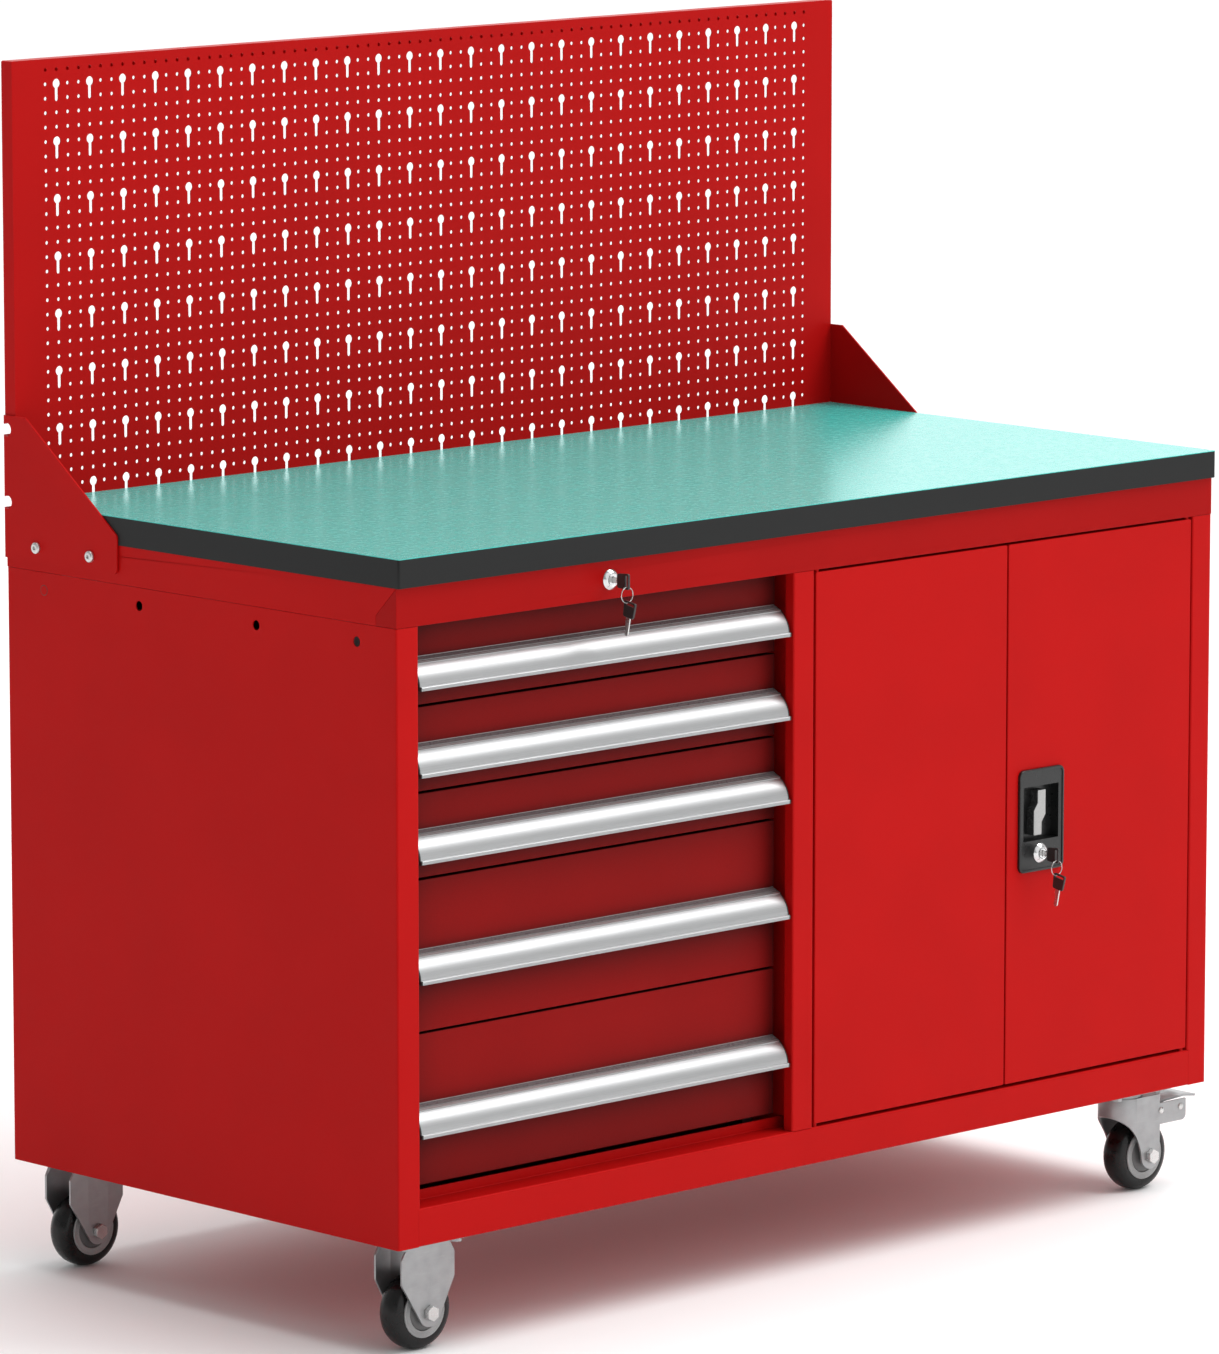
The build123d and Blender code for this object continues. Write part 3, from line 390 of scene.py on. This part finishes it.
def ease_edges():
    """Round the sharp edges of the sheet-metal nodes a little, as folding does."""
    for name, width in EASED_NODES.items():
        node = frame["nodes"][name]
        weld = node.modifiers.new("weld", "WELD")
        weld.merge_threshold = 0.00002
        bevel = node.modifiers.new("eased", "BEVEL")
        bevel.width = width * MM
        bevel.segments = 2
        bevel.limit_method = "ANGLE"
        bevel.angle_limit = math.radians(40)
        bevel.harden_normals = False


# -------------------------------------------------------------------- mesh helpers
def finish_piece(mesh, name, body, material, bevel=0.0, smooth=35):
    """Make an object of a bmesh, in its place, riding on a body."""
    bmesh.ops.recalc_face_normals(mesh, faces=mesh.faces)
    data = bpy.data.meshes.new(name)
    mesh.to_mesh(data)
    mesh.free()
    data.materials.append(material)
    data.shade_smooth()
    data.set_sharp_from_angle(angle=math.radians(smooth))
    piece = bpy.data.objects.new(name, data)
    bpy.context.scene.collection.objects.link(piece)
    if bevel:
        eased = piece.modifiers.new("eased", "BEVEL")
        eased.width = bevel
        eased.segments = 2
        eased.limit_method = "ANGLE"
        eased.angle_limit = math.radians(40)
    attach(piece, body)
    return piece


def prism(outline, matrix, length):
    """Extrude a flat outline of (u, v) along w; the matrix places (u, v, w)."""
    mesh = bmesh.new()
    near = [mesh.verts.new(matrix @ Vector((u, v, 0))) for u, v in outline]
    far = [mesh.verts.new(matrix @ Vector((u, v, length))) for u, v in outline]
    mesh.faces.new(near)
    mesh.faces.new(far[::-1])
    for i, corner in enumerate(near):
        j = (i + 1) % len(near)
        mesh.faces.new((corner, far[i], far[j], near[j]))
    return mesh


def lathe(profile, matrix, steps=64, closed=False):
    """Turn a profile of (radius, height) about the matrix's Z axis."""
    mesh = bmesh.new()
    rings = []
    for step in range(steps):
        angle = math.tau * step / steps
        ring = []
        for radius, height in profile:
            place = Vector((radius * math.cos(angle), radius * math.sin(angle), height))
            ring.append(mesh.verts.new(matrix @ place))
        rings.append(ring)
    last = len(profile) if closed else len(profile) - 1
    for step, ring in enumerate(rings):
        after = rings[(step + 1) % steps]
        for i in range(last):
            j = (i + 1) % len(profile)
            mesh.faces.new((ring[i], ring[j], after[j], after[i]))
    bmesh.ops.remove_doubles(mesh, verts=mesh.verts, dist=1e-6)
    bmesh.ops.dissolve_degenerate(mesh, edges=mesh.edges, dist=1e-7)
    return mesh


def joined(*meshes):
    """One bmesh of several."""
    whole = bmesh.new()
    for mesh in meshes:
        data = bpy.data.meshes.new("part")
        mesh.to_mesh(data)
        mesh.free()
        whole.from_mesh(data)
        bpy.data.meshes.remove(data)
    return whole


def axes(origin, x_axis, z_axis):
    """Matrix with its X and Z axes along the given directions."""
    z = Vector(z_axis).normalized()
    x = Vector(x_axis).normalized()
    y = z.cross(x)
    matrix = Matrix((x, y, z)).transposed().to_4x4()
    matrix.translation = Vector(origin)
    return matrix


def arc(centre, radius, start, stop, steps):
    """Points along an arc, in degrees."""
    points = []
    for i in range(steps + 1):
        angle = math.radians(start + (stop - start) * i / steps)
        points.append((centre[0] + radius * math.cos(angle), centre[1] + radius * math.sin(angle)))
    return points


def bend(start, middle, stop, steps):
    """Points along the arc through three points, without the first."""
    (ax, ay), (bx, by), (cx, cy) = start, middle, stop
    d = 2 * (ax * (by - cy) + bx * (cy - ay) + cx * (ay - by))
    a2, b2, c2 = ax * ax + ay * ay, bx * bx + by * by, cx * cx + cy * cy
    ux = (a2 * (by - cy) + b2 * (cy - ay) + c2 * (ay - by)) / d
    uy = (a2 * (cx - bx) + b2 * (ax - cx) + c2 * (bx - ax)) / d
    radius = math.hypot(ax - ux, ay - uy)
    angles = [math.atan2(y - uy, x - ux) for x, y in (start, middle, stop)]
    sweep = (angles[2] - angles[0] + math.pi) % math.tau - math.pi
    points = []
    for i in range(1, steps + 1):
        angle = angles[0] + sweep * i / steps
        points.append((ux + radius * math.cos(angle), uy + radius * math.sin(angle)))
    return points


def rounded(width, height, radius, steps=5, centre=(0.0, 0.0)):
    """Outline of a rectangle with round corners."""
    u, v = width / 2 - radius, height / 2 - radius
    corners = ((u, v, 0), (-u, v, 90), (-u, -v, 180), (u, -v, 270))
    points = []
    for cu, cv, start in corners:
        points += arc((centre[0] + cu, centre[1] + cv), radius, start, start + 90, steps)
    return points


# ------------------------------------------------------------------------- handles
CAP_THICK = 2.0 * MM
LABEL_STRIP = ((1.0, 37.9), (1.2, 38.5), (7.9, 35.5), (7.7, 34.9))
# dark strip laid in the groove under the label cover: painted shade of the groove
GROOVE_SHADE_STRIP = ((8.1, 33.7), (8.1, 34.6), (9.4, 34.0), (9.4, 33.2))


def handle_outline():
    """Section of the pull as (depth from the drawer front, height), in millimetres."""
    points = [(0, 39), (0.7, 38.9), (0.9, 38.0), (7.8, 34.9), (8.2, 33.6), (9.3, 33.2), (9.5, 34.6),
              (11.2, 33.8), (11.3, 33.2), (11.8, 33.0), (12.0, 33.5), (13.7, 32.7), (13.8, 32.0),
              (13.3, 31.6), (13.4, 30.9), (14.4, 30.7)]
    points += bend((14.4, 30.7), (24.7, 18.4), (28.5, 5.4), 14)
    points += [(30.6, 5.1), (31.4, 4.8), (31.8, 4.2)]
    for height in (3.5, 2.4, 1.3):
        points += [(31.8, height), (31.35, height - 0.3), (31.35, height - 0.5), (31.8, height - 0.8)]
    points += [(31.6, 0.1), (31.2, 0), (27.2, 0), (26.2, 5)]
    points += bend((26.2, 5), (22.4, 17.6), (12.6, 28.4), 12)
    points += [(2, 34.2), (2, 12), (0, 12)]
    return points


def add_handles():
    section = handle_outline()
    for number in range(1, 6):
        node = f"drawer_{number}_handle"
        body = f"drawer_{number}"
        low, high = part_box(node)
        place = axes((low.x, high.y, low.z), (0, -1, 0), (1, 0, 0))
        # the matrix's Y axis points down, so heights are mirrored
        outline = [(depth * MM, -height * MM) for depth, height in section]
        length = high.x - low.x
        shifted = place @ Matrix.Translation((0, 0, CAP_THICK))
        grip = finish_piece(prism(outline, shifted, length - 2 * CAP_THICK), f"{node}_extrusion", body,
                            MATERIALS["satin_aluminium"], smooth=25)
        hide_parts(node)
        caps = [prism(outline, place @ Matrix.Translation((0, 0, z)), CAP_THICK)
                for z in (0, length - CAP_THICK)]
        finish_piece(joined(*caps), f"{node}_end_caps", body, END_CAP, 0.3 * MM)
        inset = place @ Matrix.Translation((0, 0, CAP_THICK))
        # the label cover, and a dark strip in the groove that is painted shade
        for ending, finish, strip in (("label_cover", LABEL, LABEL_STRIP), ("groove_shade_strip", END_CAP, GROOVE_SHADE_STRIP)):
            corners = [(depth * MM, -height * MM) for depth, height in strip]
            finish_piece(prism(corners, inset, length - 2 * CAP_THICK), f"{node}_{ending}", body, finish,
                         0.1 * MM)


# -------------------------------------------------------------------------- keys
HEAD_LONG = 21.0 * MM
HEAD_TALL = 20.4 * MM
HEAD_THICK = 3.2 * MM
SLOT_INSET = 4.0 * MM        # the slot's middle, from the head's outer end
BOW_SLOT = (16.0 * MM, 3.4 * MM)
RING_RADIUS = 10.0 * MM
RING_WIRE = 0.8 * MM
SPARE_TILT = 11.0            # degrees from hanging straight, blade towards the bench


def plate_with_slot(outline, slot_outline, matrix, thickness):
    """Flat plate with one opening."""
    mesh = bmesh.new()
    rims = []
    for level in (-thickness / 2, thickness / 2):
        loops = []
        for points in (outline, slot_outline):
            loops.append([mesh.verts.new(matrix @ Vector((u, v, level))) for u, v in points])
        edges = []
        for loop in loops:
            edges += [mesh.edges.new((loop[i], loop[(i + 1) % len(loop)])) for i in range(len(loop))]
        bmesh.ops.triangle_fill(mesh, use_beauty=True, edges=edges)
        rims.append(loops)
    for near, far in zip(*rims):
        for i, corner in enumerate(near):
            j = (i + 1) % len(near)
            mesh.faces.new((corner, near[j], far[j], far[i]))
    return mesh


def key_blade(matrix, length, width, thickness):
    """Flat blade with cuts along one edge; it runs along the matrix's X axis."""
    cuts = (0.8, 2.1, 1.2, 2.4, 1.6, 0.6)
    start, pitch = 0.36 * length, 0.085 * length
    outline = [(0, -width / 2), (0, width / 2)]
    outline += [(start * 0.8, width / 2), (start, width / 2 - 1.0 * MM)]
    for number, cut in enumerate(cuts):
        left = start + number * pitch
        depth = width / 2 - cut * MM
        outline += [(left + pitch * 0.35, depth), (left + pitch * 0.65, depth),
                    (left + pitch, width / 2 - 0.5 * MM)]
    outline += [(length, width / 2 - 2.6 * MM), (length, -width / 2 + 2.2 * MM),
                (length - 2.2 * MM, -width / 2)]
    shifted = matrix @ Matrix.Translation((0, 0, -thickness / 2))
    return prism(outline, shifted, thickness)


def bow(matrix):
    """Moulded key head: tapered towards the blade, with a slot at its outer end."""
    half = HEAD_TALL / 2
    outline = [(0.0, -half * 0.72), (0.0, half * 0.72), (2.0 * MM, half * 0.9)]
    outline += [(HEAD_LONG - 2.5 * MM, half)]
    outline += arc((HEAD_LONG - 2.5 * MM, half - 2.5 * MM), 2.5 * MM, 90, 0, 5)[1:]
    outline += arc((HEAD_LONG - 2.5 * MM, -half + 2.5 * MM), 2.5 * MM, 0, -90, 5)
    outline += [(2.0 * MM, -half * 0.9)]
    slot_centre = (HEAD_LONG - SLOT_INSET, 0.0)
    opening = rounded(BOW_SLOT[1], BOW_SLOT[0] - 0.2 * MM, 1.4 * MM, 4, slot_centre)
    return plate_with_slot(outline, opening, matrix, HEAD_THICK)


def split_ring(centre, radius, wire):
    """Flat split ring: two turns of wire side by side, in the XZ plane."""
    turns = []
    for side in (-1, 1):
        profile = [(radius + du, side * wire * 0.46 + dv)
                   for du, dv in arc((0, 0), wire * 0.5, 0, 330, 11)]
        turns.append(lathe(profile, axes(centre, (1, 0, 0), (0, 1, 0)), 72, closed=True))
    return joined(*turns)


def add_key_set(prefix, body, spare_body):
    """Key in the lock, ring through its slot and the spare key on the ring."""
    low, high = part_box(f"{prefix}_key")
    x, z = (low.x + high.x) / 2, (low.z + high.z) / 2
    head_back = low.y + HEAD_LONG
    out = axes((x, head_back, z), (0, -1, 0), (1, 0, 0))
    head = finish_piece(bow(out), f"{prefix}_key_head", body, MATERIALS["key_plastic"],
                        0.5 * MM)
    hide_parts(f"{prefix}_key")
    blade_length = high.y - head_back
    inward = axes((x, head_back - 1 * MM, z), (0, 1, 0), (1, 0, 0))
    finish_piece(key_blade(inward, blade_length + 1 * MM, 7.4 * MM, 2.0 * MM), f"{prefix}_key_blade", body,
                 MATERIALS["bright_screws"], 0.15 * MM)
    ring_y = low.y + SLOT_INSET
    low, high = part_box(f"{prefix}_spare_key")
    ring_centre = Vector((x, ring_y, high.z - RING_WIRE - RING_RADIUS))
    finish_piece(split_ring(ring_centre, RING_RADIUS, RING_WIRE), f"{prefix}_split_ring", spare_body,
                 MATERIALS["bright_screws"], smooth=60)
    hook = ring_centre - Vector((0, 0, RING_RADIUS))
    tilt = Matrix.Translation(hook) @ Matrix.Rotation(math.radians(SPARE_TILT), 4, "X")
    head_top = SLOT_INSET - BOW_SLOT[1] / 4
    head_bottom = Vector((0, -6.0 * MM, head_top - HEAD_LONG))
    up = tilt @ axes(head_bottom, (0, 0, 1), (1, 0, 0))
    spare = finish_piece(bow(up), f"{prefix}_spare_head", spare_body, MATERIALS["key_plastic"],
                         0.5 * MM)
    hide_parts(f"{prefix}_spare_key")
    down = tilt @ axes(head_bottom + Vector((0, 0, 1 * MM)), (0, 0, -1), (1, 0, 0))
    finish_piece(key_blade(down, 24.8 * MM, 7.0 * MM, 2.0 * MM), f"{prefix}_spare_blade",
                 spare_body, MATERIALS["bright_screws"], 0.15 * MM)


# -------------------------------------------------------------------------- wheels
def wheel_profiles():
    """Half sections of the tyre, the hub and the bearing cap, in millimetres."""
    tyre = [(34.0, -17.6), (36.0, -18.0), (40.5, -17.6), (45.0, -15.8)]
    tyre += bend((45.0, -15.8), (48.7, -9.5), (49.9, -3.0), 6)
    tyre += [(50.0, 0.0), (49.9, 3.0)]
    tyre += bend((49.9, 3.0), (48.7, 9.5), (45.0, 15.8), 6)
    tyre += [(40.5, 17.6), (36.0, 18.0), (34.0, 17.6)]
    rim = [(33.9, 0.0), (33.9, 18.8), (33.4, 19.5), (32.2, 19.6), (31.0, 18.9), (26.5, 18.3), (25.2, 18.9),
           (24.6, 18.6), (24.4, 16.0), (24.4, 0.0)]
    cap = [(23.8, 12.0), (23.8, 17.9), (23.2, 18.4), (14.0, 19.4), (12.5, 19.9), (8.0, 19.9), (5.3, 19.9),
           (5.3, 12.0)]
    return tyre, rim, cap


def add_wheel(node, body):
    low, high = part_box(node)
    centre = (low + high) / 2
    tyre, rim, cap = wheel_profiles()
    spin = axes(centre, (1, 0, 0), (0, -1, 0))

    def metres(profile, side=1):
        return [(radius * MM, side * height * MM) for radius, height in profile]

    rubber = finish_piece(lathe(metres(tyre), spin, 96), f"{node}_tyre", body, MATERIALS["black_tread"],
                          smooth=50)
    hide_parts(node)
    for part, finish, ending in ((rim, HUB_GREY, "hub"), (cap, CAP_GREY, "bearing_caps")):
        sides = [lathe(metres(part, side), spin, 72) for side in (-1, 1)]
        finish_piece(joined(*sides), f"{node}_{ending}", body, finish)


def dome(origin, direction, radius, height):
    """Rivet or screw head standing on a surface."""
    profile = [(radius, 0.0), (radius * 0.97, height * 0.45), (radius * 0.8, height * 0.8),
               (radius * 0.45, height * 0.97), (0.0, height)]
    along = Vector(direction)
    side = Vector((0, 0, 1)) if abs(along.z) < 0.5 else Vector((1, 0, 0))
    return lathe(profile, axes(origin, side, along), 24)


def hexagon(origin, direction, across_flats, height):
    """Bolt head with chamfered corners."""
    along = Vector(direction)
    side = Vector((0, 0, 1)) if abs(along.z) < 0.5 else Vector((1, 0, 0))
    radius = across_flats / math.sqrt(3)
    outline = [(radius * math.cos(math.radians(60 * i)), radius * math.sin(math.radians(60 * i)))
               for i in range(6)]
    return prism(outline, axes(origin, side, along), height)


RIVET_Z = 110.6 * MM
RIVET_REACH = 31 * MM
BOLT_Z = 142 * MM
BOLT_SPACING = (84 * MM, 64 * MM)
PLATE_MIDDLES = (("rigid", -674.5 * MM), ("swivel", 636 * MM))


def add_caster_fittings():
    """Rivets on the brake flaps' pivots and four bolts under every caster plate."""
    for end in ("front", "rear"):
        wheel_low, wheel_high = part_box(f"wheel_{end}_right")
        y = (wheel_low.y + wheel_high.y) / 2
        pedal_low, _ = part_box(f"brake_pedal_{end}")
        _, fork_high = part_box(f"swivel_caster_fork_{end}")
        heads = []
        for x in (pedal_low.x + 5 * MM, fork_high.x - 11 * MM):
            for side in (-1, 1):
                place = (x, y + side * RIVET_REACH, RIVET_Z)
                heads.append(dome(place, (0, side, 0), 4.6 * MM, 2.0 * MM))
        finish_piece(joined(*heads), f"swivel_{end}_rivets", f"swivel_{end}", MATERIALS["bright_screws"],
                     smooth=60)
        for name, x in PLATE_MIDDLES:
            bolts = []
            for along in (-0.5, 0.5):
                for across in (-0.5, 0.5):
                    place = (x + along * BOLT_SPACING[0], y + across * BOLT_SPACING[1], BOLT_Z)
                    bolts.append(hexagon(place, (0, 0, -1), 13 * MM, 5 * MM))
            finish_piece(joined(*bolts), f"{name}_{end}_plate_bolts", "bench", MATERIALS["zinc_plated_steel"],
                         0.4 * MM)


# --------------------------------------------------------------------- lock, plugs
BEZEL_HEIGHT = 5.0 * MM
BEZEL_PROFILE = ((13.3, 0.0), (13.3, 0.8), (12.8, 1.3), (9.1, 5.0), (8.5, 5.2), (7.6, 5.2), (7.0, 4.7),
                 (6.9, 4.0))
SIDE_PLUG = Vector((0.0, 322.5, 908.4)) * MM


def add_lever_face():
    """Light grey face of the lever over its dark body."""
    low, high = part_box("door_lock_lever")
    x, z = (low.x + high.x) / 2, (low.z + high.z) / 2
    half, tall, aside = 7.4, 30.1, 3.7
    outline = [(aside - half, tall), (aside - half, 13.2), (-aside - half, 3.2), (-aside - half, -tall)]
    outline += [(-u, -v) for u, v in outline]
    outline = [(u * MM, v * MM) for u, v in outline]
    place = axes((x, low.y + 0.6 * MM, z), (1, 0, 0), (0, -1, 0))
    finish_piece(prism(outline, place, 1.1 * MM), "door_lever_face", "door_lever",
                 MATERIALS["lever_paint"], 0.6 * MM)
    for held in frame["nodes"]["door_lock_lever"].material_slots:
        held.material = DARK_LEVER


def add_lock_bezels():
    """Nickel cones round the two lock plugs."""
    for name, plug, body in (("door", "door_lock_barrel", "door_right"),
                             ("drawer", "drawer_lock_barrel", "bench")):
        low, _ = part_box(plug)
        key_low, key_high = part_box(f"{name}_key")
        x, z = (key_low.x + key_high.x) / 2, (key_low.z + key_high.z) / 2
        profile = [(radius * MM, height * MM) for radius, height in BEZEL_PROFILE]
        base = Vector((x, low.y + BEZEL_HEIGHT, z))
        finish_piece(lathe(profile, axes(base, (1, 0, 0), (0, -1, 0)), 48), f"{name}_lock_bezel", body,
                     MATERIALS["lock_chrome"], smooth=30)


def add_axle_bolts():
    """Bright hexagon heads on both ends of every axle."""
    for end in ("front", "rear"):
        for side, body, half in (("left", "bench", 29.2), ("right", f"swivel_{end}", 31.2)):
            low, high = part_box(f"wheel_{end}_{side}")
            centre = (low + high) / 2
            heads = []
            for sign in (-1, 1):
                place = centre + Vector((0, sign * half * MM, 0))
                heads.append(hexagon(place, (0, sign, 0), 18.4 * MM, 7.2 * MM))
            finish_piece(joined(*heads), f"axle_bolts_{end}_{side}", body, MATERIALS["bright_screws"],
                         0.9 * MM)


def add_side_plugs():
    """Snap-in plug in the rear hole of each side panel, with a dark joint round it."""
    low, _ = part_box("side_panel_left")
    joint = ((7.0, 0.0), (7.0, 0.12), (6.2, 0.12), (6.2, 0.0))
    cap = ((6.2, 0.0), (6.1, 0.3), (0.0, 0.35))
    for side, x, sign in (("left", low.x, -1), ("right", -low.x, 1)):
        place = axes(SIDE_PLUG + Vector((x, 0, 0)), (0, 0, 1), (sign, 0, 0))
        for ending, finish, profile in (("joint", END_CAP, joint), ("cap", MATERIALS["red_paint"], cap)):
            rings = [(radius * MM, height * MM) for radius, height in profile]
            finish_piece(lathe(rings, place, 40), f"side_plug_{side}_{ending}", "bench", finish)


add_camera()
add_lights()
add_floor()
bpy.context.scene.view_settings.view_transform = "Standard"
dress_cad_nodes()
ease_edges()
add_handles()
add_key_set("drawer", "drawer_cylinder", "drawer_spare")
add_key_set("door", "door_cylinder", "door_spare")
for end in ("front", "rear"):
    add_wheel(f"wheel_{end}_left", f"rigid_wheel_{end}")
    add_wheel(f"wheel_{end}_right", f"swivel_wheel_{end}")
add_caster_fittings()
add_lever_face()
add_lock_bezels()
add_axle_bolts()
add_side_plugs()
